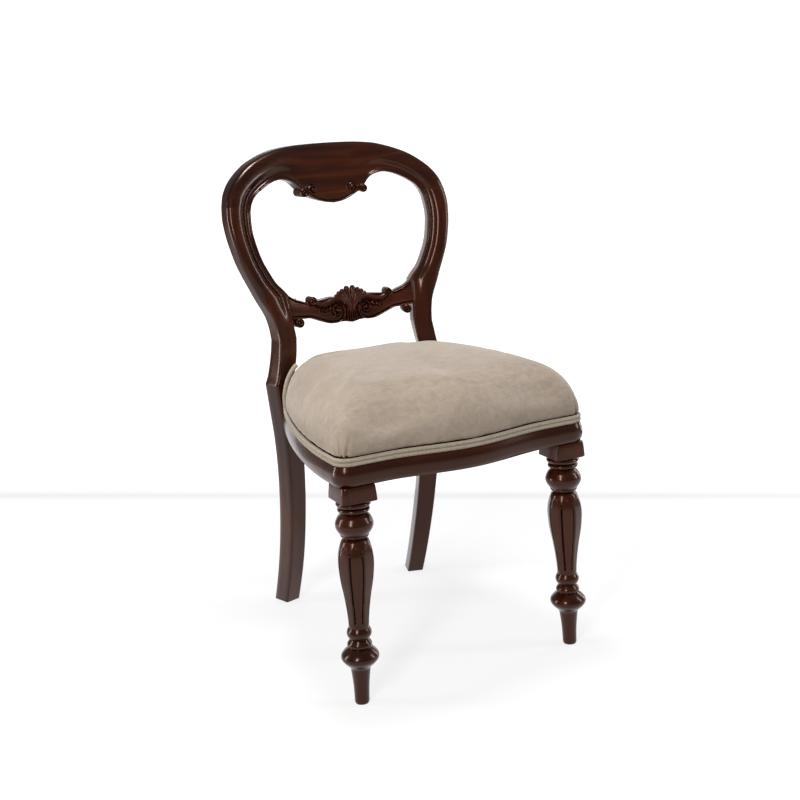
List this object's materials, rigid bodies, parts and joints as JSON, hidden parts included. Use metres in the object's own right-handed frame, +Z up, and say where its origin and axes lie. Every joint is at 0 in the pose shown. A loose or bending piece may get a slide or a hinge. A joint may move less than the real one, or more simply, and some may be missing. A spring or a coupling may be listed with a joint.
{
  "type": "balloon back dining chair",
  "caption": "Wooden dining chair with a carved balloon back, a scrolled cross rail, turned and faceted front legs, sabre rear legs and a stuffed-over seat edged with double piping",
  "frame": {"origin": "on the floor, in the middle of the chair's footprint box", "axes": "+X to the right of someone facing the chair's front, -Y the way the sitter faces, +Z up; x = 0 is the plane of symmetry"},
  "size_m": [0.4726, 0.5594, 0.89],
  "materials": {
    "mahogany": "french polished dark red-brown mahogany",
    "beech": "plain unpolished beech",
    "steel": "bright drawn steel",
    "webbing": "woven jute webbing",
    "hessian": "loosely woven hessian",
    "wadding": "hair stuffing under cotton wadding",
    "velvet": "short-pile beige velvet, slightly mottled",
    "piping": "cream-beige cloth over cord",
    "dust_cloth": "thin black lining cloth"
  },
  "bodies": {
    "root": {"corner_block_front_left": "beech", "corner_block_front_right": "beech", "corner_block_rear_left": "beech", "corner_block_rear_right": "beech", "crest_dowel_inner_left": "beech", "crest_dowel_inner_right": "beech", "crest_dowel_outer_left": "beech", "crest_dowel_outer_right": "beech", "crest_rail": "mahogany", "cross_rail": "mahogany", "cross_rail_dowel_lower_left": "beech", "cross_rail_dowel_lower_right": "beech", "cross_rail_dowel_upper_left": "beech", "cross_rail_dowel_upper_right": "beech", "double_piping": "piping", "dust_cover": "dust_cloth", "front_block_screw_front_left": "steel", "front_block_screw_front_right": "steel", "front_block_screw_side_left": "steel", "front_block_screw_side_right": "steel", "front_corner_dowel_lower_left": "beech", "front_corner_dowel_lower_right": "beech", "front_corner_dowel_upper_left": "beech", "front_corner_dowel_upper_right": "beech", "front_leg_left": "mahogany", "front_leg_right": "mahogany", "front_seat_rail": "mahogany", "rear_block_screw_rear_left": "steel", "rear_block_screw_rear_right": "steel", "rear_block_screw_side_left": "steel", "rear_block_screw_side_right": "steel", "rear_leg_left": "mahogany", "rear_leg_right": "mahogany", "rear_rail_dowel_lower_left": "beech", "rear_rail_dowel_lower_right": "beech", "rear_rail_dowel_upper_left": "beech", "rear_rail_dowel_upper_right": "beech", "rear_seat_rail": "mahogany", "seat_cover": "velvet", "seat_hessian": "hessian", "seat_strap_cross_1": "webbing", "seat_strap_cross_2": "webbing", "seat_strap_cross_3": "webbing", "seat_strap_cross_4": "webbing", "seat_strap_long_1": "webbing", "seat_strap_long_2": "webbing", "seat_strap_long_3": "webbing", "seat_stuffing": "wadding", "side_rail_dowel_lower_left": "beech", "side_rail_dowel_lower_right": "beech", "side_rail_dowel_upper_left": "beech", "side_rail_dowel_upper_right": "beech", "side_seat_rail_left": "mahogany", "side_seat_rail_right": "mahogany"}
  },
  "joints": []
}
